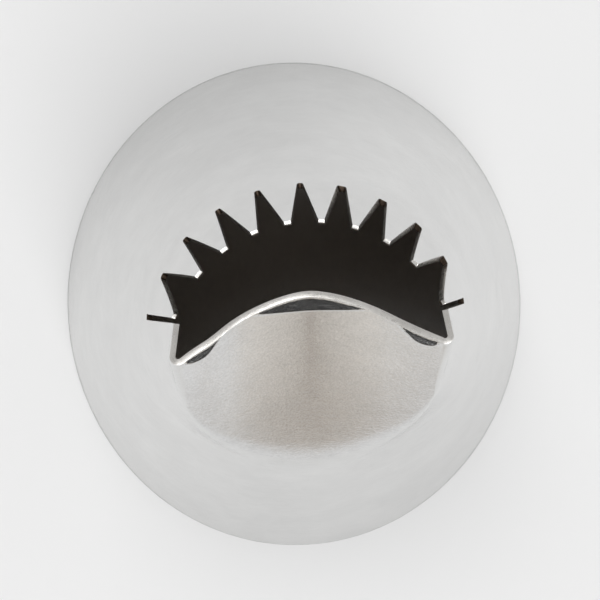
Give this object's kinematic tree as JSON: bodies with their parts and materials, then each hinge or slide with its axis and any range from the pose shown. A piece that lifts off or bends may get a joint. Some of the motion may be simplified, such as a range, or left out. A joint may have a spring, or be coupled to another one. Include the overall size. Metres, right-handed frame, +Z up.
{
  "type": "piping nozzle",
  "caption": "Conical stainless steel piping nozzle whose crescent mouth lies between a row of pointed teeth and a pressed-in scoop, for piping ribbed petals from a pastry bag.",
  "frame": {"origin": "centre of the open oval base, on the plane of its rim, which the nozzle stands on", "axes": "+Z up the nozzle's axis to the tip, +Y towards the toothed side, -Y towards the scoop, X across the mouth"},
  "size_m": [0.0368, 0.0392, 0.04],
  "materials": {
    "steel": "satin polished stainless steel sheet"
  },
  "bodies": {
    "root": {"nozzle_shell": "steel"}
  },
  "joints": []
}
